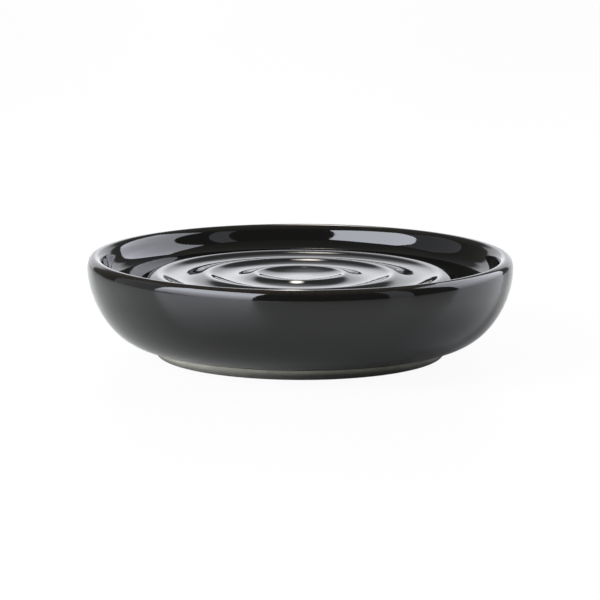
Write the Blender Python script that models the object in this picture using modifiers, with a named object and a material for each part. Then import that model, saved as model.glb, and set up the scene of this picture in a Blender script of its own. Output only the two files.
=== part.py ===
"""Round stoneware soap dish with drainage rings.

The dish is one casting of stoneware under black gloss glaze, and nothing on it moves.
It is modelled as its separate materials: the clay body, the outer coat of glaze, and
the patch of glaze inside the foot ring. Units are metres and +Z is up. The origin is
on the table, at the centre of the foot ring.

Every surface is turned about Z. A line of the profile is an array of rows holding
radius, height and heading, where the heading is the angle at which the line travels.
The lines run from the foot, up and over the rim, in to the centre, so the clay is
always on their left.
"""

import math

import bpy
import numpy as np

# Driving dimensions
DIAMETER = 0.120
HEIGHT = 0.028
FOOT_RADIUS = 0.0407
GLAZE_THICKNESS = 0.0005
SEAT_GAP = 0.0003
FLOOR_THICKNESS = 0.008

# Facets round the axis, and Blender's smallest safe distance for joining the seam
FACETS = 40
SEAM_MERGE = 0.00001
SHARP_EDGE = math.radians(40)


def points_on_curve(start, start_handle, end_handle, end, count):
    """Rows along a cubic Bezier curve, with the heading from its first derivative."""
    share = np.linspace(0, 1, count + 1)[:, None]
    rest = 1 - share
    places = (
        rest**3 * np.array(start)
        + 3 * rest**2 * share * np.array(start_handle)
        + 3 * rest * share**2 * np.array(end_handle)
        + share**3 * np.array(end)
    )
    travel = (
        rest**2 * (np.array(start_handle) - np.array(start))
        + 2 * rest * share * (np.array(end_handle) - np.array(start_handle))
        + share**2 * (np.array(end) - np.array(end_handle))
    )
    headings = np.unwrap(np.arctan2(travel[:, 1], travel[:, 0]))
    return np.column_stack([places, headings])


def points_on_arc(centre, radius, first_heading, last_heading, count):
    """Rows along an arc that turns left about its centre."""
    headings = np.linspace(first_heading, last_heading, count + 1)
    radii = centre[0] + radius * np.sin(headings)
    heights = centre[1] - radius * np.cos(headings)
    return np.column_stack([radii, heights, headings])


def points_on_half_wave(start, end, crest_radius, crest_count, trough_count):
    """Rows inwards from a crest to a trough or back, level at both ends.

    Two arcs meet at the slope where both have turned by the same angle. The crest's
    radius is given, and the trough's is what is left of the run.
    """
    run = start[0] - end[0]
    fall = start[1] - end[1]
    side = math.copysign(1, fall)
    bend = 2 * math.atan2(abs(fall), run)
    trough_radius = run / math.sin(bend) - crest_radius
    falling = fall > 0
    start_radius = crest_radius if falling else trough_radius
    end_radius = trough_radius if falling else crest_radius
    start_count = crest_count if falling else trough_count
    end_count = trough_count if falling else crest_count
    out = np.linspace(0, bend, start_count + 1)
    back = np.linspace(bend, 0, end_count + 1)[1:]
    radii = np.concatenate([start[0] - start_radius * np.sin(out), end[0] + end_radius * np.sin(back)])
    drops = start_radius * side * (1 - np.cos(out))
    rises = end_radius * side * (1 - np.cos(back))
    heights = np.concatenate([start[1] - drops, end[1] + rises])
    headings = math.pi + side * np.concatenate([out, back])
    return np.column_stack([radii, heights, headings])


def joined(*lines):
    """One line from lines that each start where the last one ended."""
    return np.concatenate([lines[0]] + [line[1:] for line in lines[1:]])


def set_in(line, depth):
    """The line moved to its left by a depth, square to its heading at each row."""
    radii = line[:, 0] - depth * np.sin(line[:, 2])
    heights = line[:, 1] + depth * np.cos(line[:, 2])
    return np.column_stack([radii, heights, line[:, 2]])


def backed_up(row, distance):
    """A row that lies a distance behind another on the same heading."""
    return np.array([
        row[0] - distance * math.cos(row[2]),
        row[1] - distance * math.sin(row[2]),
        row[2],
    ])


def turned_object(name, outline, material, collection):
    """A solid turned about Z, from an outline that starts on the axis at its top."""
    mesh = bpy.data.meshes.new(name)
    corners = [(radius, 0, height) for radius, height in outline]
    edges = [(index, index + 1) for index in range(len(corners) - 1)]
    mesh.from_pydata(corners, edges, [])
    mesh.materials.append(material)
    solid = bpy.data.objects.new(name, mesh)
    collection.objects.link(solid)
    screw = solid.modifiers.new("Turned about the axis", "SCREW")
    screw.axis = "Z"
    screw.angle = math.tau
    screw.steps = FACETS
    screw.render_steps = FACETS
    screw.use_merge_vertices = True
    screw.merge_threshold = SEAM_MERGE
    graph = bpy.context.evaluated_depsgraph_get()
    turned = bpy.data.meshes.new_from_object(solid.evaluated_get(graph))
    solid.modifiers.clear()
    solid.data = turned
    turned.name = name
    turned.shade_smooth()
    turned.set_sharp_from_angle(angle=SHARP_EDGE)
    bpy.data.meshes.remove(mesh)


def fired_material(name, colour, roughness):
    """A Principled BSDF with a plain colour and roughness, not metallic."""
    material = bpy.data.materials.new(name)
    material.use_nodes = True
    shader = material.node_tree.nodes["Principled BSDF"]
    shader.inputs["Base Color"].default_value = (*colour, 1)
    shader.inputs["Roughness"].default_value = roughness
    shader.inputs["Metallic"].default_value = 0
    return material


for old in list(bpy.data.objects):
    bpy.data.objects.remove(old, do_unlink=True)
parts = bpy.data.collections.new("soap_dish")
bpy.context.scene.collection.children.link(parts)

# Foot ring: bare clay below the glaze line, tapering in to the tread
TREAD_WIDTH = 0.0036
TREAD_CHAMFER = 0.0004
SHOULDER_HEIGHT = 0.0019
SHOULDER_FLARE = 0.0006
GLAZE_LINE_RISE = 0.0014
GLAZE_LINE_RUN = 0.0026

# Belly: leaves the glaze line almost level and rises to the widest circle
TAKE_OFF_ANGLE = math.radians(6)
LOWER_BELLY_SHARE = 0.63
UPPER_BELLY_SHARE = 0.365

# Rim: a full shoulder outside the crest and a round nose inside it
RIM_RISE = 0.0034
RIM_SHOULDER = 0.0020
RIM_NOSE_RADIUS = 0.00245
SHOULDER_UP_SHARE = 0.60
SHOULDER_OVER_SHARE = 0.70

# Bowl: a wall that leans in, turns into a gutter and rises to the drainage rings
WALL_DRAFT = math.radians(21)
WALL_SHARE = 0.48
WALL_FOOT_SHARE = 0.935
GUTTER_WIDTH = 0.0154
GUTTER_DEPTH = 0.0025
GUTTER_FLANK_RADIUS = 0.0042
GUTTER_PLACE_SHARE = 0.355
RING_COUNT = 3
RING_DROP = 0.0050
RING_DEPTH = 0.0012
OUTER_CREST_RADIUS = 0.0062
INNER_CREST_RADIUS = 0.0028
INNER_RING_RADIUS = 0.0125
CENTRE_DEPTH = 0.00135
CENTRE_FLAT_RADIUS = 0.0034

# Underside: a recess that keeps the thick floor from warping in the kiln
RECESS_DRAFT = math.radians(8)
RECESS_FILLET = 0.004
BASE_GLAZE_LINE_HEIGHT = 0.0016

# The glazed line from the foot to the widest circle and over the rim
widest_radius = DIAMETER / 2
widest_height = HEIGHT - RIM_RISE
shoulder_radius = FOOT_RADIUS + SHOULDER_FLARE
glaze_line_radius = shoulder_radius + GLAZE_LINE_RUN
glaze_line_height = SHOULDER_HEIGHT + GLAZE_LINE_RISE
lower_reach = LOWER_BELLY_SHARE * (widest_radius - glaze_line_radius)
upper_reach = UPPER_BELLY_SHARE * (widest_height - glaze_line_height)
belly = points_on_curve(
    (glaze_line_radius, glaze_line_height),
    (
        glaze_line_radius + lower_reach * math.cos(TAKE_OFF_ANGLE),
        glaze_line_height + lower_reach * math.sin(TAKE_OFF_ANGLE),
    ),
    (widest_radius, widest_height - upper_reach),
    (widest_radius, widest_height),
    8,
)
crest_radius = widest_radius - RIM_SHOULDER
shoulder = points_on_curve(
    (widest_radius, widest_height),
    (widest_radius, widest_height + SHOULDER_UP_SHARE * RIM_RISE),
    (crest_radius + SHOULDER_OVER_SHARE * RIM_SHOULDER, HEIGHT),
    (crest_radius, HEIGHT),
    4,
)
nose = points_on_arc(
    (crest_radius, HEIGHT - RIM_NOSE_RADIUS),
    RIM_NOSE_RADIUS,
    math.pi,
    math.pi * 3 / 2 - WALL_DRAFT,
    3,
)

# The bowl's wall and gutter
wall_radius = nose[-1, 0]
wall_height = nose[-1, 1]
outer_ring_radius = wall_radius - GUTTER_WIDTH
ring_height = HEIGHT - RING_DROP
gutter_radius = outer_ring_radius + GUTTER_PLACE_SHARE * GUTTER_WIDTH
gutter_height = ring_height - GUTTER_DEPTH
wall_drop = WALL_SHARE * (wall_height - gutter_height)
wall = points_on_curve(
    (wall_radius, wall_height),
    (wall_radius - wall_drop * math.tan(WALL_DRAFT), wall_height - wall_drop),
    (gutter_radius + WALL_FOOT_SHARE * (wall_radius - gutter_radius), gutter_height),
    (gutter_radius, gutter_height),
    6,
)

# The rings, from the gutter in to the hollow at the centre
trough_height = ring_height - RING_DEPTH
ring_radii = np.linspace(outer_ring_radius, INNER_RING_RADIUS, RING_COUNT)
crest_radii = np.linspace(OUTER_CREST_RADIUS, INNER_CREST_RADIUS, RING_COUNT)
rings = list(zip(ring_radii, crest_radii))
waves = [
    points_on_half_wave(
        (gutter_radius, gutter_height),
        (outer_ring_radius, ring_height),
        GUTTER_FLANK_RADIUS,
        2,
        3,
    )
]
for (outer, outer_crest), (inner, inner_crest) in zip(rings, rings[1:]):
    trough = ((outer + inner) / 2, trough_height)
    waves.append(points_on_half_wave((outer, ring_height), trough, outer_crest, 2, 2))
    waves.append(points_on_half_wave(trough, (inner, ring_height), inner_crest, 2, 2))
centre_height = ring_height - CENTRE_DEPTH
centre_edge = (CENTRE_FLAT_RADIUS, centre_height)
waves.append(
    points_on_half_wave((INNER_RING_RADIUS, ring_height), centre_edge, INNER_CREST_RADIUS, 2, 3)
)
waves.append([[*centre_edge, math.pi], [0, centre_height, math.pi]])
glazed_line = joined(belly, shoulder, nose, wall, *waves)

# The recess line, from the glaze line inside the foot ring to the axis
clay_depth = GLAZE_THICKNESS + SEAT_GAP
recess_height = trough_height - clay_depth - FLOOR_THICKNESS - clay_depth
tread_inner_radius = FOOT_RADIUS - TREAD_WIDTH
recess_heading = math.pi / 2 + RECESS_DRAFT
base_line_radius = tread_inner_radius - BASE_GLAZE_LINE_HEIGHT * math.tan(RECESS_DRAFT)
fillet_top = recess_height - RECESS_FILLET
fillet_start_height = fillet_top - RECESS_FILLET * math.cos(recess_heading)
fillet_start_radius = (
    base_line_radius - (fillet_start_height - BASE_GLAZE_LINE_HEIGHT) * math.tan(RECESS_DRAFT)
)
fillet_centre = (fillet_start_radius - RECESS_FILLET * math.sin(recess_heading), fillet_top)
recess_line = np.concatenate([
    [[base_line_radius, BASE_GLAZE_LINE_HEIGHT, recess_heading]],
    points_on_arc(fillet_centre, RECESS_FILLET, recess_heading, math.pi, 4),
    [[0, recess_height, math.pi]],
])

# Stoneware body: the clay under both glazes, and the bare foot ring between them
clay_under_coat = set_in(glazed_line, clay_depth)[::-1]
coat_rebate = backed_up(glazed_line[0], SEAT_GAP)
clay_over_recess = set_in(recess_line, -clay_depth)
base_rebate = backed_up(recess_line[0], SEAT_GAP)
foot_ring = [
    set_in(coat_rebate[None], clay_depth)[0, :2],
    coat_rebate[:2],
    (shoulder_radius, SHOULDER_HEIGHT),
    (FOOT_RADIUS, TREAD_CHAMFER),
    (FOOT_RADIUS - TREAD_CHAMFER, 0),
    (tread_inner_radius + TREAD_CHAMFER, 0),
    (tread_inner_radius, TREAD_CHAMFER),
    base_rebate[:2],
    set_in(base_rebate[None], -clay_depth)[0, :2],
]
clay_outline = [*clay_under_coat[:, :2], *foot_ring, *clay_over_recess[:, :2]]
turned_object(
    "stoneware_body",
    clay_outline,
    fired_material("bare_stoneware", (0.40, 0.38, 0.32), 0.75),
    parts,
)

# Glaze coat: one skin from the glaze line over the rim to the centre
coat_back = set_in(glazed_line, GLAZE_THICKNESS)
coat_outline = [*glazed_line[::-1, :2], *coat_back[:, :2]]
black_glaze = fired_material("black_glaze", (0.010, 0.010, 0.009), 0.08)
turned_object("glaze_coat", coat_outline, black_glaze, parts)

# Base glaze: the patch that lines the recess, up to its own glaze line
patch_back = set_in(recess_line, -GLAZE_THICKNESS)
patch_outline = [*patch_back[::-1, :2], *recess_line[:, :2]]
turned_object("base_glaze", patch_outline, black_glaze, parts)
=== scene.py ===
"""Looks of a round stoneware soap dish under black gloss glaze, in metres, +Z up.

Every surface of the dish is turned about Z. A line of its profile is an array of rows
that hold radius and height. The glazed line runs from the foot, up and over the rim, in
to the centre, with the clay on its left. The recess line runs from the foot in to the
centre underneath, with the clay on its right.
"""

import math

import bpy
import numpy as np
from mathutils import Matrix, Vector


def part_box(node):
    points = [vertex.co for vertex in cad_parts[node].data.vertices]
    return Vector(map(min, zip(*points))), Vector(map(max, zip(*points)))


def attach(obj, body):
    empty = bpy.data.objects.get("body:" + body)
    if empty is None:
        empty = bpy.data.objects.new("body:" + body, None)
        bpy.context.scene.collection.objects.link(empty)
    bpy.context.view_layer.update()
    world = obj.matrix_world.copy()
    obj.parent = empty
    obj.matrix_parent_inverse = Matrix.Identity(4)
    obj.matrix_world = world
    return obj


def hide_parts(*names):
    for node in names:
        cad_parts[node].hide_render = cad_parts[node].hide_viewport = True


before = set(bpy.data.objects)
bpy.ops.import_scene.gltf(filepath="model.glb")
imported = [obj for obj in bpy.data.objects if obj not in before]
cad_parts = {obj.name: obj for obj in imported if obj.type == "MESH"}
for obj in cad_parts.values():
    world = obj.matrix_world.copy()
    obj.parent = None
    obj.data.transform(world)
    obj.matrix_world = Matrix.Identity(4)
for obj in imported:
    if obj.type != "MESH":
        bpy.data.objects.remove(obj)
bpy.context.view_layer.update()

# The cast body. Pale buff stoneware, slip cast in a two part mould, with the drainage
# rings, the rim and the foot ring all in one piece. The foot ring is wiped clean of glaze
# so that it doesn't stick to the kiln shelf, and is the only place where the clay shows.

dish_low, dish_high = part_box("glaze_coat")
DISH_RADIUS = (dish_high.x - dish_low.x) / 2
RIM_HEIGHT = dish_high.z

# The foot ring, and the lines on both sides of it where the glaze stops
FOOT_RADIUS = 0.0407
FOOT_SHOULDER_HEIGHT = 0.0019
FOOT_SHOULDER_FLARE = 0.0006
TREAD_WIDTH = 0.0036
TREAD_CHAMFER = 0.0004
GLAZE_LINE_RISE = 0.0014
GLAZE_LINE_RUN = 0.0026
BASE_LINE_HEIGHT = 0.0016

# The belly, the rim and the leaning inner wall
TAKE_OFF_ANGLE = math.radians(6)
LOWER_BELLY_SHARE = 0.63
UPPER_BELLY_SHARE = 0.365
RIM_RISE = 0.0034
RIM_SHOULDER = 0.0020
SHOULDER_UP_SHARE = 0.60
SHOULDER_OVER_SHARE = 0.70
RIM_NOSE_RADIUS = 0.00245
WALL_DRAFT = math.radians(21)
WALL_SHARE = 0.48
WALL_FOOT_SHARE = 0.935

# The gutter, the drainage rings and the hollow at their centre
GUTTER_WIDTH = 0.0154
GUTTER_DEPTH = 0.0025
GUTTER_FLANK_RADIUS = 0.0042
GUTTER_PLACE_SHARE = 0.355
RING_COUNT = 3
RING_DROP = 0.0050
RING_DEPTH = 0.0012
OUTER_CREST_RADIUS = 0.0062
INNER_CREST_RADIUS = 0.0028
INNER_RING_RADIUS = 0.0125
CENTRE_DEPTH = 0.00135
CENTRE_FLAT_RADIUS = 0.0034

# The floor, from glaze to glaze, and the recess under it
FLOOR_THICKNESS = 0.0096
RECESS_DRAFT = math.radians(8)
RECESS_FILLET = 0.004

# The glaze on the clay, and the widths over which corners are evened out
GLAZE_THICKNESS = 0.0005
GLAZE_LEVELLING = 0.0004
FOOT_LEVELLING = 0.0002
LEVELLING_REACH = 3

# Points on a curve and on an arc, rows of each stretch of the mesh, and columns round it
CURVE_POINTS = 200
ARC_POINTS = 100
FINE_STEP = 0.00005
CLAY_ROWS = 220
FOOT_ROWS = 60
RECESS_ROWS = 80
COLUMNS = 240


def curve_line(start, start_handle, end_handle, end):
    """Rows along a cubic Bezier curve: its four points, weighted by Bernstein polynomials."""
    share = np.linspace(0, 1, CURVE_POINTS)[:, None]
    rest = 1 - share
    return (
        rest**3 * np.array(start)
        + 3 * rest**2 * share * np.array(start_handle)
        + 3 * rest * share**2 * np.array(end_handle)
        + share**3 * np.array(end)
    )


def arc_line(centre, radius, first_heading, last_heading):
    """Rows along an arc that turns left.

    A row lies beyond the centre by the arc's radius times the sine of its heading, and
    below it by the radius times the cosine.
    """
    headings = np.linspace(first_heading, last_heading, ARC_POINTS)
    offsets = np.column_stack([np.sin(headings), -np.cos(headings)])
    return np.array(centre) + radius * offsets


def half_wave_line(start, end, crest_radius):
    """Rows inwards from a crest to a trough or back, as two arcs that meet at one slope.

    Both arcs turn by twice the angle whose tangent is the fall over the run. The trough's
    radius is the run divided by the sine of that turn, less the crest's radius.
    """
    run = start[0] - end[0]
    fall = start[1] - end[1]
    side = math.copysign(1, fall)
    bend = 2 * math.atan2(abs(fall), run)
    trough_radius = run / math.sin(bend) - crest_radius
    start_radius = crest_radius if fall > 0 else trough_radius
    end_radius = trough_radius if fall > 0 else crest_radius
    out = np.linspace(0, bend, ARC_POINTS)
    back = out[-2::-1]
    radii = [start[0] - start_radius * np.sin(out), end[0] + end_radius * np.sin(back)]
    drops = start[1] - start_radius * side * (1 - np.cos(out))
    rises = end[1] + end_radius * side * (1 - np.cos(back))
    return np.column_stack([np.concatenate(radii), np.concatenate([drops, rises])])


def joined(*lines):
    """One line from lines that each start where the last one ended."""
    return np.concatenate([lines[0]] + [line[1:] for line in lines[1:]])


def lengths_along(line):
    """The length of the line from its start to each row."""
    return np.concatenate([[0], np.cumsum(np.hypot(*np.diff(line, axis=0).T))])


def read_along(values, along, lengths):
    """Pairs of values known at lengths along a line, read at other lengths between them."""
    return np.stack([np.interp(lengths, along, values[:, axis]) for axis in (0, 1)], -1)


def line_at(line, lengths):
    """Radius and height at lengths along a line, for lengths of any array shape."""
    return read_along(line, lengths_along(line), lengths)


def spaced(line, count):
    """The line in that many rows, spaced evenly along it."""
    return line_at(line, np.linspace(0, lengths_along(line)[-1], count))


def levelled(line, width):
    """The line evened out, as melted glaze does: a Gaussian mean of that width along it.

    An end on the axis is carried on by its mirror image across it, and any other end by
    its own half turn about the end point, so that it stays put.
    """
    fine = spaced(line, int(lengths_along(line)[-1] / FINE_STEP) + 1)
    reach = int(LEVELLING_REACH * width / FINE_STEP)
    steps = np.arange(-reach, reach + 1) * FINE_STEP
    weights = np.exp(-0.5 * (steps / width) ** 2)
    weights = weights / weights.sum()
    before = 2 * fine[0] - fine[reach:0:-1]
    after = fine[-2 : -reach - 2 : -1]
    after = after * (-1, 1) if line[-1, 0] == 0 else 2 * fine[-1] - after
    padded = np.concatenate([before, fine, after])
    evened = [np.convolve(padded[:, axis], weights, "valid") for axis in (0, 1)]
    return np.column_stack(evened)


def directions(line):
    """The direction in which the line travels at each row, as a step of length 1."""
    travel = np.gradient(line, axis=0)
    return travel / np.linalg.norm(travel, axis=1)[:, None]


def set_in(line, depth):
    """The line moved to its left by a depth, square to its own direction."""
    travel = directions(line)
    return line + np.column_stack([-travel[:, 1], travel[:, 0]]) * depth


def new_object(name, data):
    """A new object in the scene, at the origin."""
    made = bpy.data.objects.new(name, data)
    bpy.context.scene.collection.objects.link(made)
    return made


def turned_mesh(name, rows):
    """A closed mesh turned about Z, from rows of radius and height for every column.

    The first and last rows lie on the axis. The columns share out a full turn, and a point
    lies at its radius times the cosine and the sine of its column's angle, at its height.
    Quads join the rows, and a fan of triangles closes each end.
    """
    columns = rows.shape[1]
    angles = np.arange(columns) * math.tau / columns
    ring = rows[1:-1]
    spots = np.stack(
        [ring[..., 0] * np.cos(angles), ring[..., 0] * np.sin(angles), ring[..., 1]], -1
    ).reshape(-1, 3)
    poles = np.array([[0, 0, rows[0, 0, 1]], [0, 0, rows[-1, 0, 1]]])
    column = np.arange(columns)
    beside = (column + 1) % columns
    first = np.arange(len(ring) - 1)[:, None] * columns
    quads = np.stack(
        [first + column, first + columns + column, first + columns + beside, first + beside], -1
    ).reshape(-1, 4)
    top, bottom = len(spots), len(spots) + 1
    last = (len(ring) - 1) * columns
    top_fan = np.column_stack([np.full(columns, top), column, beside])
    bottom_fan = np.column_stack([np.full(columns, bottom), last + beside, last + column])
    mesh = bpy.data.meshes.new(name)
    mesh.from_pydata(
        np.concatenate([spots, poles]).tolist(),
        [],
        quads.tolist() + top_fan.tolist() + bottom_fan.tolist(),
    )
    mesh.shade_smooth()
    return new_object(name, mesh)


def all_round(line):
    """The same line for every column."""
    return np.repeat(line[:, None, :], COLUMNS, axis=1)


glaze_line_radius = FOOT_RADIUS + FOOT_SHOULDER_FLARE + GLAZE_LINE_RUN
glaze_line_height = FOOT_SHOULDER_HEIGHT + GLAZE_LINE_RISE
widest_height = RIM_HEIGHT - RIM_RISE
lower_reach = LOWER_BELLY_SHARE * (DISH_RADIUS - glaze_line_radius)
upper_reach = UPPER_BELLY_SHARE * (widest_height - glaze_line_height)
belly = curve_line(
    (glaze_line_radius, glaze_line_height),
    (
        glaze_line_radius + lower_reach * math.cos(TAKE_OFF_ANGLE),
        glaze_line_height + lower_reach * math.sin(TAKE_OFF_ANGLE),
    ),
    (DISH_RADIUS, widest_height - upper_reach),
    (DISH_RADIUS, widest_height),
)
crest_radius = DISH_RADIUS - RIM_SHOULDER
shoulder = curve_line(
    (DISH_RADIUS, widest_height),
    (DISH_RADIUS, widest_height + SHOULDER_UP_SHARE * RIM_RISE),
    (crest_radius + SHOULDER_OVER_SHARE * RIM_SHOULDER, RIM_HEIGHT),
    (crest_radius, RIM_HEIGHT),
)
nose_centre = (crest_radius, RIM_HEIGHT - RIM_NOSE_RADIUS)
nose = arc_line(nose_centre, RIM_NOSE_RADIUS, math.pi, math.pi * 3 / 2 - WALL_DRAFT)
wall_radius, wall_height = nose[-1]
outer_ring_radius = wall_radius - GUTTER_WIDTH
ring_height = RIM_HEIGHT - RING_DROP
gutter = (outer_ring_radius + GUTTER_PLACE_SHARE * GUTTER_WIDTH, ring_height - GUTTER_DEPTH)
wall_drop = WALL_SHARE * (wall_height - gutter[1])
wall = curve_line(
    (wall_radius, wall_height),
    (wall_radius - wall_drop * math.tan(WALL_DRAFT), wall_height - wall_drop),
    (gutter[0] + WALL_FOOT_SHARE * (wall_radius - gutter[0]), gutter[1]),
    gutter,
)

trough_height = ring_height - RING_DEPTH
ring_radii = np.linspace(outer_ring_radius, INNER_RING_RADIUS, RING_COUNT)
crest_radii = np.linspace(OUTER_CREST_RADIUS, INNER_CREST_RADIUS, RING_COUNT)
rings = [half_wave_line(gutter, (outer_ring_radius, ring_height), GUTTER_FLANK_RADIUS)]
for ring in range(RING_COUNT - 1):
    outer, inner = ring_radii[ring : ring + 2]
    trough = ((outer + inner) / 2, trough_height)
    rings.append(half_wave_line((outer, ring_height), trough, crest_radii[ring]))
    rings.append(half_wave_line(trough, (inner, ring_height), crest_radii[ring + 1]))
centre_edge = (CENTRE_FLAT_RADIUS, ring_height - CENTRE_DEPTH)
rings.append(half_wave_line((INNER_RING_RADIUS, ring_height), centre_edge, INNER_CREST_RADIUS))
centre = np.array([centre_edge, (0, centre_edge[1])])
glazed = levelled(joined(belly, shoulder, nose, wall, *rings, centre), GLAZE_LEVELLING)
glazed[-1, 0] = 0

recess_height = trough_height - FLOOR_THICKNESS
tread_inner_radius = FOOT_RADIUS - TREAD_WIDTH
recess_heading = math.pi / 2 + RECESS_DRAFT
fillet_top = recess_height - RECESS_FILLET
fillet_start_height = fillet_top - RECESS_FILLET * math.cos(recess_heading)
fillet_start_radius = tread_inner_radius - fillet_start_height * math.tan(RECESS_DRAFT)
fillet_centre = (fillet_start_radius - RECESS_FILLET * math.sin(recess_heading), fillet_top)
base_line_radius = tread_inner_radius - BASE_LINE_HEIGHT * math.tan(RECESS_DRAFT)
recess = joined(
    np.array([(base_line_radius, BASE_LINE_HEIGHT), (fillet_start_radius, fillet_start_height)]),
    arc_line(fillet_centre, RECESS_FILLET, recess_heading, math.pi),
    np.array([(fillet_centre[0], recess_height), (0, recess_height)]),
)
recess = spaced(recess, RECESS_ROWS)

clay_under_glaze = spaced(set_in(glazed, GLAZE_THICKNESS)[::-1], CLAY_ROWS)
clay_under_glaze[0, 0] = 0
foot_ring = np.array([
    (FOOT_RADIUS + FOOT_SHOULDER_FLARE, FOOT_SHOULDER_HEIGHT),
    (FOOT_RADIUS, TREAD_CHAMFER),
    (FOOT_RADIUS - TREAD_CHAMFER, 0),
    (tread_inner_radius + TREAD_CHAMFER, 0),
    (tread_inner_radius, TREAD_CHAMFER),
    (base_line_radius, BASE_LINE_HEIGHT),
])
foot_corners = np.concatenate([clay_under_glaze[-1:], foot_ring])
foot_fine = spaced(levelled(foot_corners, FOOT_LEVELLING), FOOT_ROWS)
clay_over_recess = set_in(recess, -GLAZE_THICKNESS)
clay_over_recess[-1, 0] = 0
clay_line = np.concatenate([clay_under_glaze, foot_fine[1:], clay_over_recess[1:]])
clay_body = turned_mesh("clay_body", all_round(clay_line))


def put_node(tree, kind, inputs, **settings):
    """A shader node with its settings, and a value or a link for inputs by name or number."""
    node = tree.nodes.new("ShaderNode" + kind)
    for name, value in settings.items():
        setattr(node, name, value)
    for name, value in inputs.items():
        if isinstance(value, bpy.types.NodeSocket):
            tree.links.new(value, node.inputs[name])
        else:
            node.inputs[name].default_value = value
    return node


def object_places(tree):
    """Object coordinates, in metres."""
    return put_node(tree, "TexCoord", {}).outputs["Object"]


def parts_of(tree, vector):
    """The numbers of a vector, under the names X, Y and Z."""
    return put_node(tree, "SeparateXYZ", {"Vector": vector}).outputs


def distance_from(tree, places, point):
    """How far each place lies from a point."""
    return put_node(
        tree, "VectorMath", {0: places, 1: point}, operation="DISTANCE"
    ).outputs["Value"]


def product_of(tree, first, second):
    """Two numbers multiplied."""
    return put_node(tree, "Math", {0: first, 1: second}, operation="MULTIPLY").outputs[0]


def noise_at(tree, places, scale, detail):
    """Cloudy noise from 0 to 1, mostly near 0.5."""
    return put_node(
        tree, "TexNoise", {"Vector": places, "Scale": scale, "Detail": detail}
    ).outputs[0]


def ramp_between(tree, value, low, high, from_value=0.0, to_value=1.0):
    """Smooth step: the value's place between low and high, from from_value to to_value."""
    return put_node(
        tree,
        "MapRange",
        {
            "Value": value,
            "From Min": low,
            "From Max": high,
            "To Min": from_value,
            "To Max": to_value,
        },
        interpolation_type="SMOOTHSTEP",
    ).outputs[0]


def blend_colours(tree, share, first, second):
    """A colour between two, by a share from 0 to 1.

    Of a Mix node's sockets, inputs 6 and 7 and output 2 are the ones for colours.
    """
    return put_node(
        tree, "Mix", {0: share, 6: first, 7: second}, data_type="RGBA"
    ).outputs[2]


# What the kiln leaves on clay and glaze alike: slow swells of the surface, and round pits
# or specks in some cells of a finer pattern.
MARK_SETTINGS = ("Swell Scale", "Speck Scale", "Speck Share", "Speck Size")
fired_surface = bpy.data.node_groups.new("fired_surface", "ShaderNodeTree")
for socket_name in MARK_SETTINGS:
    fired_surface.interface.new_socket(
        socket_name, in_out="INPUT", socket_type="NodeSocketFloat"
    )
for socket_name in ("Swell", "Specks"):
    fired_surface.interface.new_socket(
        socket_name, in_out="OUTPUT", socket_type="NodeSocketFloat"
    )
asked = fired_surface.nodes.new("NodeGroupInput").outputs
given = fired_surface.nodes.new("NodeGroupOutput")
places = object_places(fired_surface)
swell = noise_at(fired_surface, places, asked["Swell Scale"], detail=2.0)
cells = put_node(
    fired_surface, "TexVoronoi", {"Vector": places, "Scale": asked["Speck Scale"]}
)
cell_number = put_node(fired_surface, "SeparateColor", {"Color": cells.outputs["Color"]})
chosen = put_node(
    fired_surface,
    "Math",
    {0: cell_number.outputs[0], 1: asked["Speck Share"]},
    operation="LESS_THAN",
)
speck_round = ramp_between(fired_surface, cells.outputs["Distance"], asked["Speck Size"], 0.0)
specks = product_of(fired_surface, chosen.outputs[0], speck_round)
fired_surface.links.new(swell, given.inputs["Swell"])
fired_surface.links.new(specks, given.inputs["Specks"])


def fired_marks(tree, *values):
    """Swell and specks of the fired surface, with the material's values for MARK_SETTINGS."""
    marks = tree.nodes.new("ShaderNodeGroup")
    marks.node_tree = fired_surface
    for name, value in zip(MARK_SETTINGS, values):
        marks.inputs[name].default_value = value
    return marks.outputs["Swell"], marks.outputs["Specks"]


# The clay's finish: sandy, blotched, with iron specks and level marks of the sponge. Painted
# shade darkens it, heaviest at the front and towards the tread, lighter just under the glaze.
CLAY_PALE = (0.73, 0.72, 0.61, 1)
CLAY_DARK = (0.62, 0.61, 0.51, 1)
CLAY_SWELL_SCALE = 260
CLAY_SWELL_SPAN = (0.3, 0.7)
CLAY_IRON = (0.055, 0.045, 0.035, 1)
IRON_SCALE = 1500
IRON_SHARE = 0.10
IRON_SIZE = 0.42
SAND_SCALE = 2600.0
SAND_HEIGHT = 0.00002
SAND_SPAN = (0.25, 0.75)
CLAY_ROUGHNESS = (0.68, 0.92)
WIPING_SCALE = (60, 60, 2400)
WIPING_HEIGHT = 0.00002
CLAY_PAINTED_SHADE = (0.045, 0.046, 0.038, 1)
CLAY_SHADE_PLACE = (0.006, -0.039, 0.0)
CLAY_SHADE_REACH = 0.078
CLAY_SHADE_MOST_SHARE = 0.97
CLAY_SHADE_HEIGHTS = (0.0012, 0.0026)
CLAY_SHADE_UPPER_SHARE = 0.60
TREAD_SHADE_HEIGHTS = (0.0006, 0.0020)
TREAD_SHADE_SHARE = 0.72

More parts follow.
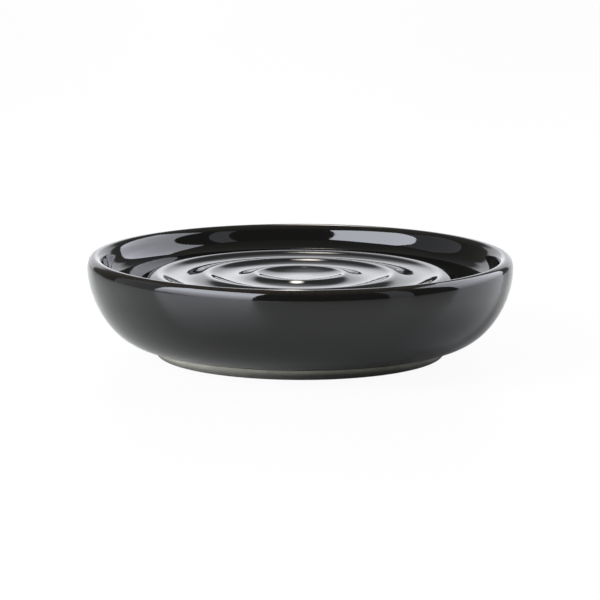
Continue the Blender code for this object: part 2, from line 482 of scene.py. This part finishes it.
bare_clay = bpy.data.materials.new("bare_stoneware")
bare_clay.use_nodes = True
clay_tree = bare_clay.node_tree
clay_swell, iron_specks = fired_marks(
    clay_tree, CLAY_SWELL_SCALE, IRON_SCALE, IRON_SHARE, IRON_SIZE
)
clay_places = object_places(clay_tree)
sand = noise_at(clay_tree, clay_places, SAND_SCALE, detail=3.0)
wiped_places = put_node(clay_tree, "Mapping", {"Vector": clay_places, "Scale": WIPING_SCALE})
wiping = noise_at(clay_tree, wiped_places.outputs[0], 1.0, detail=2.0)
clay_colour = blend_colours(
    clay_tree, ramp_between(clay_tree, clay_swell, *CLAY_SWELL_SPAN), CLAY_DARK, CLAY_PALE
)
clay_colour = blend_colours(clay_tree, iron_specks, clay_colour, CLAY_IRON)
# Painted shade: the clay is darkened round a place at the front, less so higher up the foot.
from_clay_shade = distance_from(clay_tree, clay_places, CLAY_SHADE_PLACE)
clay_height = parts_of(clay_tree, clay_places)["Z"]
clay_shade_round = ramp_between(clay_tree, from_clay_shade, 0.0, CLAY_SHADE_REACH, CLAY_SHADE_MOST_SHARE, 0.0)
clay_shade_up = ramp_between(clay_tree, clay_height, *CLAY_SHADE_HEIGHTS, 1.0, CLAY_SHADE_UPPER_SHARE)
painted_clay_shade = product_of(clay_tree, clay_shade_round, clay_shade_up)
clay_colour = blend_colours(clay_tree, painted_clay_shade, clay_colour, CLAY_PAINTED_SHADE)
# Painted shade: darker again towards the tread, where the foot meets the table.
tread_painted_shade = ramp_between(clay_tree, clay_height, *TREAD_SHADE_HEIGHTS, TREAD_SHADE_SHARE, 0.0)
clay_colour = blend_colours(clay_tree, tread_painted_shade, clay_colour, CLAY_PAINTED_SHADE)
sand_bump = put_node(clay_tree, "Bump", {"Height": sand, "Distance": SAND_HEIGHT})
wiping_bump = put_node(
    clay_tree,
    "Bump",
    {"Height": wiping, "Distance": WIPING_HEIGHT, "Normal": sand_bump.outputs[0]},
)
clay_roughness = ramp_between(clay_tree, sand, *SAND_SPAN, *CLAY_ROUGHNESS)
clay_shader = clay_tree.nodes["Principled BSDF"]
clay_tree.links.new(clay_colour, clay_shader.inputs["Base Color"])
clay_tree.links.new(clay_roughness, clay_shader.inputs["Roughness"])
clay_tree.links.new(wiping_bump.outputs[0], clay_shader.inputs["Normal"])
clay_body.data.materials.append(bare_clay)
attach(clay_body, "root")
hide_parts("stoneware_body")

# The glaze coat. One unbroken layer of black gloss glaze, poured over the cast and fired
# until it melts level. It ends above the foot ring in a rounded line that wavers a little,
# and runs thin over the rim and the crests of the rings, where it breaks to olive brown.

COAT_ROWS = 310
COAT_BACK_ROWS = 60
BURIED_DEPTH = GLAZE_THICKNESS * 1.3
LINE_OVERLAP = 0.0007
RUN_DOWN = LINE_OVERLAP * 2
LINE_ROLL = 0.0008
LINE_WAVER = 0.00022

# The waver's waves: how many go round the foot, where each starts, and what divides it
LINE_WAVES = ((3, 0.4, 1.2), (7, 2.1, 1.6), (13, 4.4, 2.4), (22, 1.3, 3.5))

coat_angles = np.arange(COLUMNS) * math.tau / COLUMNS
waver = sum(
    np.sin(count * coat_angles + phase) / divisor for count, phase, divisor in LINE_WAVES
)
line_starts = -LINE_OVERLAP + LINE_WAVER * waver
line_back = glazed[0] - (glazed[1] - glazed[0]) / FINE_STEP * RUN_DOWN
run_down = np.linspace(line_back, glazed[0], int(RUN_DOWN / FINE_STEP) + 1)
coat_full = joined(run_down, glazed)
coat_along = lengths_along(coat_full)
coat_starts = lengths_along(run_down)[-1] + line_starts
coat_shares = np.linspace(1, 0, COAT_ROWS)[:, None]
coat_lengths = coat_starts + (coat_along[-1] - coat_starts) * coat_shares

# The edge rolls down into the clay as a quarter of an ellipse.
past_line = np.clip((coat_lengths - coat_starts) / LINE_ROLL, 0, 1)
sunk = BURIED_DEPTH * (1 - np.sqrt(1 - (1 - past_line) ** 2))
coat_travel = directions(coat_full)
coat_leans = read_along(coat_travel, coat_along, coat_lengths)
coat_front = line_at(coat_full, coat_lengths)
coat_front[..., 0] -= coat_leans[..., 1] * sunk
coat_front[..., 1] += coat_leans[..., 0] * sunk
coat_front[0, :, 0] = 0
coat_back = set_in(spaced(glazed, COAT_BACK_ROWS), BURIED_DEPTH)
coat_back[-1, 0] = 0
coat_rows = np.concatenate([coat_front, all_round(coat_back)])
glaze = turned_mesh("glaze_layer", coat_rows)

# Thinness, from 0 to 1, follows how sharply the coat bends over the clay, in radians a metre.
THIN_TURNS = (300, 620)
THIN_SPREAD = 0.0004
THIN_REACH = 60
THIN_LINE_SHARE = 0.8

headings = np.unwrap(np.arctan2(coat_travel[:, 1], coat_travel[:, 0]))
turns = np.gradient(headings, coat_along)
thin_steps = np.arange(-THIN_REACH, THIN_REACH + 1) * FINE_STEP
thin_weights = np.exp(-0.5 * (thin_steps / THIN_SPREAD) ** 2)
thin_weights = thin_weights / thin_weights.sum()
turns = np.convolve(np.pad(turns, THIN_REACH, mode="edge"), thin_weights, "valid")
thin_share = np.clip((turns - THIN_TURNS[0]) / (THIN_TURNS[1] - THIN_TURNS[0]), 0, 1)
front_thinness = np.interp(coat_lengths, coat_along, thin_share)
thinness = np.zeros(coat_rows.shape[:2])
thinness[:COAT_ROWS] = np.maximum(front_thinness, THIN_LINE_SHARE * (1 - past_line))
thin_layer = glaze.data.attributes.new("thinness", "FLOAT", "POINT")
thin_layer.data.foreach_set(
    "value", np.concatenate([thinness[1:-1].ravel(), [0, 0]]).astype(np.float32)
)

# The glaze's finish: black and glossy, with slow swells, a few pinholes, and brown where
# it runs thin.
GLAZE_BLACK = (0.0013, 0.0013, 0.0012, 1)
GLAZE_BROWN = (0.012, 0.009, 0.006, 1)
GLAZE_SWELL_SCALE = 210
GLAZE_SWELL_HEIGHT = 0.000020
PINHOLE_SCALE = 420
PINHOLE_SHARE = 0.035
PINHOLE_SIZE = 0.12
PINHOLE_DEPTH = 0.00002
BREAK_SCALE = 900.0
BREAK_SPAN = (0.3, 0.7)
BREAK_SHARES = (0.55, 1.0)
GLOSS_SPAN = (0.2, 0.8)
GLAZE_ROUGHNESS = (0.03, 0.07)

black_glaze = bpy.data.materials.new("black_glaze")
black_glaze.use_nodes = True
glaze_tree = black_glaze.node_tree
glaze_swell, pinholes = fired_marks(
    glaze_tree, GLAZE_SWELL_SCALE, PINHOLE_SCALE, PINHOLE_SHARE, PINHOLE_SIZE
)
breaking = noise_at(glaze_tree, object_places(glaze_tree), BREAK_SCALE, detail=3.0)
thin_value = put_node(glaze_tree, "Attribute", {}, attribute_name="thinness").outputs["Fac"]
break_share = ramp_between(glaze_tree, breaking, *BREAK_SPAN, *BREAK_SHARES)
broken = product_of(glaze_tree, thin_value, break_share)
glaze_colour = blend_colours(glaze_tree, broken, GLAZE_BLACK, GLAZE_BROWN)
glaze_bump = put_node(glaze_tree, "Bump", {"Height": glaze_swell, "Distance": GLAZE_SWELL_HEIGHT})
pinhole_bump = put_node(
    glaze_tree,
    "Bump",
    {"Height": pinholes, "Distance": PINHOLE_DEPTH, "Normal": glaze_bump.outputs[0]},
    invert=True,
)
glaze_roughness = ramp_between(glaze_tree, breaking, *GLOSS_SPAN, *GLAZE_ROUGHNESS)
glaze_shader = glaze_tree.nodes["Principled BSDF"]
glaze_tree.links.new(glaze_colour, glaze_shader.inputs["Base Color"])
glaze_tree.links.new(glaze_roughness, glaze_shader.inputs["Roughness"])
glaze_tree.links.new(pinhole_bump.outputs[0], glaze_shader.inputs["Normal"])
glaze.data.materials.append(black_glaze)
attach(glaze, "root")
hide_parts("glaze_coat")

# The base glaze. A patch of the same black glaze inside the foot ring, on the recessed
# base and up its sides. It is swirled round in the recess before the foot is wiped, so
# the bare tread parts it from the coat outside.

PATCH_DEPTH = GLAZE_THICKNESS * 1.2

patch_back = set_in(recess, -PATCH_DEPTH)
patch_back[-1, 0] = 0
patch_line = np.concatenate([patch_back[::-1], recess])
base_patch = turned_mesh("base_glaze_patch", all_round(patch_line))
base_patch.data.materials.append(black_glaze)
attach(base_patch, "root")
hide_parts("base_glaze")

# The table. A white board with a faint sheen, which the dish stands on. The camera sees it
# nearly white. What the dish mirrors of it is greyer, with painted light at the left and
# painted shade under the belly and to the right of the foot.

TABLE_RADIUS = 6.0
TABLE_SIDES = 64
TABLE_WHITE = (0.705, 0.70, 0.65, 1)
TABLE_PAINTED_LIGHT = (0.85, 0.845, 0.79, 1)
TABLE_PAINTED_SHADE = (0.41, 0.41, 0.385, 1)
TABLE_ROUGHNESS = 0.30
PAINTED_LIGHT_ACROSS = (-0.025, -0.080)
PAINTED_SHADE_CENTRE = (0.031, -0.012, 0)
PAINTED_SHADE_OUTWARDS = (0.067, 0.023)
CAMERA_WHITE_SHARE = 0.94

table_mesh = bpy.data.meshes.new("table")
table_angles = np.arange(TABLE_SIDES) * math.tau / TABLE_SIDES
table_corners = np.column_stack([
    TABLE_RADIUS * np.cos(table_angles),
    TABLE_RADIUS * np.sin(table_angles),
    np.zeros(TABLE_SIDES),
])
table_mesh.from_pydata(table_corners.tolist(), [], [list(range(TABLE_SIDES))])
table = new_object("table", table_mesh)

board = bpy.data.materials.new("white_board")
board.use_nodes = True
board_tree = board.node_tree
board_places = object_places(board_tree)
board_across = parts_of(board_tree, board_places)["X"]
# Painted light towards the left, then painted shade round a place right of the foot.
painted_light_share = ramp_between(board_tree, board_across, *PAINTED_LIGHT_ACROSS)
painted_light_colour = blend_colours(board_tree, painted_light_share, TABLE_WHITE, TABLE_PAINTED_LIGHT)
from_shade = distance_from(board_tree, board_places, PAINTED_SHADE_CENTRE)
painted_shade_share = ramp_between(board_tree, from_shade, *PAINTED_SHADE_OUTWARDS)
board_colour = blend_colours(board_tree, painted_shade_share, painted_light_colour, TABLE_PAINTED_SHADE)
board_shader = board_tree.nodes["Principled BSDF"]
board_tree.links.new(board_colour, board_shader.inputs["Base Color"])
board_shader.inputs["Roughness"].default_value = TABLE_ROUGHNESS
board_white = put_node(board_tree, "Emission", {"Strength": 1.0})
board_seen = put_node(board_tree, "LightPath", {}).outputs["Is Camera Ray"]
board_mix = put_node(
    board_tree,
    "MixShader",
    {
        0: product_of(board_tree, board_seen, CAMERA_WHITE_SHARE),
        1: board_shader.outputs[0],
        2: board_white.outputs[0],
    },
)
board_tree.links.new(board_mix.outputs[0], board_tree.nodes["Material Output"].inputs["Surface"])
table_mesh.materials.append(board)

# The lamps. A softbox stands at the front left, and another, to the right and a little
# behind, leans over the dish. Two dim cards fill in, a narrow one at the front right and a
# broad one at the left.

DAYLIGHT = (0.95, 0.975, 1.075)
LAMP_FALL_SHARE = 0.4


def area_lamp(name, width, height, radiance, colour):
    """An area lamp whose nodes shape its light. Its energy is its radiance times 4 areas."""
    lamp = bpy.data.lights.new(name, "AREA")
    lamp.shape = "RECTANGLE"
    lamp.size = width
    lamp.size_y = height
    lamp.energy = radiance * 4 * width * height
    lamp.color = colour
    lamp.use_nodes = True
    return lamp


def softbox(name, azimuth, distance, width, height, tilt, roll, radiance, foot_share):
    """An area lamp that stands on the table and leans over the dish by its tilt.

    Azimuth is from the camera's side towards +X. The foot of the lamp is at the distance,
    and its middle is half its own height up along the lean. The light falls to foot_share
    of its strength at the table.
    """
    lamp = area_lamp(name, width, height, radiance, DAYLIGHT)
    tree = lamp.node_tree
    across = put_node(tree, "NewGeometry", {}).outputs["Parametric"]
    fall = put_node(
        tree,
        "MapRange",
        {
            "Value": parts_of(tree, across)["Y"],
            "From Min": 0.0,
            "From Max": LAMP_FALL_SHARE,
            "To Min": foot_share,
            "To Max": 1.0,
        },
    )
    tree.links.new(fall.outputs[0], tree.nodes["Emission"].inputs["Strength"])
    turn, lean = math.radians(azimuth), math.radians(tilt)
    away = distance - height / 2 * math.sin(lean)
    place = Vector((away * math.sin(turn), -away * math.cos(turn), height / 2 * math.cos(lean)))
    new_object(name, lamp).matrix_world = (
        Matrix.Translation(place)
        @ Matrix.Rotation(turn, 4, "Z")
        @ Matrix.Rotation(math.pi / 2 - lean, 4, "X")
        @ Matrix.Rotation(math.radians(roll), 4, "Z")
    )


softbox(
    "left_softbox", azimuth=-50.5, distance=0.71, width=0.75, height=0.79,
    tilt=0, roll=-5, radiance=7.6, foot_share=0.24,
)
softbox(
    "right_softbox", azimuth=113, distance=0.86, width=0.70, height=0.74,
    tilt=30, roll=0, radiance=3.35, foot_share=0.35,
)
softbox(
    "reflector_card", azimuth=53.5, distance=0.90, width=0.22, height=0.90,
    tilt=0, roll=0, radiance=0.58, foot_share=0.8,
)
softbox(
    "side_card", azimuth=-96, distance=1.20, width=0.83, height=1.20,
    tilt=0, roll=0, radiance=0.34, foot_share=1.0,
)

# The spot. A small, slim lamp high behind the dish, warmer than the softboxes and soft at
# its edge. It puts one highlight on the inner ring and one on the crest of the near rim.

SPOT_DISTANCE = 0.50
SPOT_ELEVATION = math.radians(44.9)
SPOT_WIDTH = 0.055
SPOT_HEIGHT = 0.142
SPOT_RADIANCE = 13
SPOT_COLOUR = (1.06, 1.0, 0.90)
SPOT_AIM = (-0.0108, -0.0138, 0.0225)
SPOT_MIDDLE = (0.5, 0.5, 0)
SPOT_EDGE_INWARDS = (0.5, 0.05)

spot_light = area_lamp("small_spot", SPOT_WIDTH, SPOT_HEIGHT, SPOT_RADIANCE, SPOT_COLOUR)
spot_tree = spot_light.node_tree
spot_across = put_node(spot_tree, "NewGeometry", {}).outputs["Parametric"]
from_spot_middle = distance_from(spot_tree, spot_across, SPOT_MIDDLE)
spot_strength = ramp_between(spot_tree, from_spot_middle, *SPOT_EDGE_INWARDS)
spot_tree.links.new(spot_strength, spot_tree.nodes["Emission"].inputs["Strength"])
spot = new_object("small_spot", spot_light)
spot_back = SPOT_DISTANCE * math.cos(SPOT_ELEVATION)
spot_up = SPOT_DISTANCE * math.sin(SPOT_ELEVATION)
spot.location = Vector(SPOT_AIM) + Vector((0, spot_back, spot_up))
spot.rotation_euler = (SPOT_ELEVATION - math.pi / 2, 0, 0)

# The backdrop. A sheet of pale paper, hung in an arc behind the dish, which the glaze
# mirrors and the camera looks past. It is brightest in a strip up its middle, and fades
# into the dim room higher up and at its sides.

BACKDROP_DISTANCE = 1.6
BACKDROP_TURN = math.radians(35.5)
BACKDROP_HEIGHT = 1.50
BACKDROP_STEPS = 32
BACKDROP_LIGHT = 1.28
PAPER_COLOUR = (0.975, 0.985, 1.03, 1)
PAPER_FADE_UP = (0.54, 0.80)
PAPER_EDGE_INWARDS = (0.90, 0.76)
STRIP_LIGHT = 0.50
STRIP_SHIFT = 0.04
STRIP_INWARDS = (0.19, 0.02)
STRIP_DOWNWARDS = (1.45, 0.85)
ROOM_LIGHT = 0.165

paper_points = BACKDROP_STEPS + 1
paper_turns = np.linspace(-BACKDROP_TURN, BACKDROP_TURN, paper_points)
paper_line = np.column_stack([
    BACKDROP_DISTANCE * np.sin(paper_turns), BACKDROP_DISTANCE * np.cos(paper_turns)
])
paper_spots = np.concatenate([
    np.column_stack([paper_line, np.full(paper_points, height)])
    for height in (0.0, BACKDROP_HEIGHT)
])
foot_points = np.arange(BACKDROP_STEPS)
top_points = foot_points + paper_points
paper_faces = np.column_stack([foot_points, foot_points + 1, top_points + 1, top_points])
sheet_mesh = bpy.data.meshes.new("backdrop")
sheet_mesh.from_pydata(paper_spots.tolist(), [], paper_faces.tolist())
backdrop = new_object("backdrop", sheet_mesh)
backdrop.visible_camera = False

paper = bpy.data.materials.new("backdrop_paper")
paper.use_nodes = True
paper_tree = paper.node_tree
paper_parts = parts_of(paper_tree, object_places(paper_tree))
sheet_light = ramp_between(
    paper_tree, paper_parts["Z"], *PAPER_FADE_UP, BACKDROP_LIGHT, ROOM_LIGHT
)
from_strip = put_node(
    paper_tree, "Math", {0: paper_parts["X"], 1: STRIP_SHIFT}, operation="ADD"
).outputs[0]
from_strip = put_node(paper_tree, "Math", {0: from_strip}, operation="ABSOLUTE").outputs[0]
strip_across = ramp_between(paper_tree, from_strip, *STRIP_INWARDS)
sheet_light = ramp_between(
    paper_tree, from_strip, *PAPER_EDGE_INWARDS, ROOM_LIGHT, sheet_light
)
strip_up = ramp_between(paper_tree, paper_parts["Z"], *STRIP_DOWNWARDS, 0.0, STRIP_LIGHT)
paper_light = put_node(
    paper_tree, "Math", {0: strip_across, 1: strip_up, 2: sheet_light}, operation="MULTIPLY_ADD"
).outputs[0]
paper_glow = put_node(
    paper_tree, "Emission", {"Color": PAPER_COLOUR, "Strength": paper_light}
)
paper_tree.links.new(paper_glow.outputs[0], paper_tree.nodes["Material Output"].inputs["Surface"])
sheet_mesh.materials.append(paper)

# The room. Dim, with a brighter ceiling, and plain white where the camera sees it.

ROOM_COLOUR = (0.99, 1.0, 0.93, 1)
CEILING_LIGHT = 0.24
CEILING_FROM = (0.70, 0.80)
WHITE = (1, 1, 1, 1)

room = bpy.data.worlds.new("room")
room.use_nodes = True
room_tree = room.node_tree
bpy.context.scene.world = room
room_ways = put_node(room_tree, "TexCoord", {}).outputs["Generated"]
room_rise = parts_of(room_tree, room_ways)["Z"]
room_strength = ramp_between(room_tree, room_rise, *CEILING_FROM, ROOM_LIGHT, CEILING_LIGHT)
room_glow = room_tree.nodes["Background"]
room_tree.links.new(room_strength, room_glow.inputs["Strength"])
room_glow.inputs["Color"].default_value = ROOM_COLOUR
white = put_node(room_tree, "Background", {"Color": WHITE})
room_seen = put_node(room_tree, "LightPath", {}).outputs["Is Camera Ray"]
room_mix = put_node(
    room_tree, "MixShader", {0: room_seen, 1: room_glow.outputs[0], 2: white.outputs[0]}
)
room_tree.links.new(room_mix.outputs[0], room_tree.nodes["World Output"].inputs["Surface"])

# The camera. A long lens, a metre from the middle of the dish and ten degrees above it.

DISH_MIDDLE_HEIGHT = 0.014
CAMERA_DISTANCE = 1.0
CAMERA_ELEVATION = math.radians(10.03)
CAMERA_AIM = (-0.00007, 0, 0.01508)
CAMERA_ROLL = math.radians(0.175)
SENSOR_WIDTH_MM = 36.0
FRAME_PIXELS = 600
FOCAL_PIXELS = 3538.7
NEAREST_SEEN = 0.01

lens = bpy.data.cameras.new("camera")
lens.sensor_width = SENSOR_WIDTH_MM
lens.lens = SENSOR_WIDTH_MM * FOCAL_PIXELS / FRAME_PIXELS
lens.clip_start = NEAREST_SEEN
camera = new_object("camera", lens)
camera_place = Vector((
    0,
    -CAMERA_DISTANCE * math.cos(CAMERA_ELEVATION),
    DISH_MIDDLE_HEIGHT + CAMERA_DISTANCE * math.sin(CAMERA_ELEVATION),
))
look = (Vector(CAMERA_AIM) - camera_place).to_track_quat("-Z", "Y").to_matrix().to_4x4()
roll = Matrix.Rotation(CAMERA_ROLL, 4, "Z")
camera.matrix_world = Matrix.Translation(camera_place) @ look @ roll
bpy.context.scene.camera = camera
bpy.context.scene.view_settings.view_transform = "Standard"
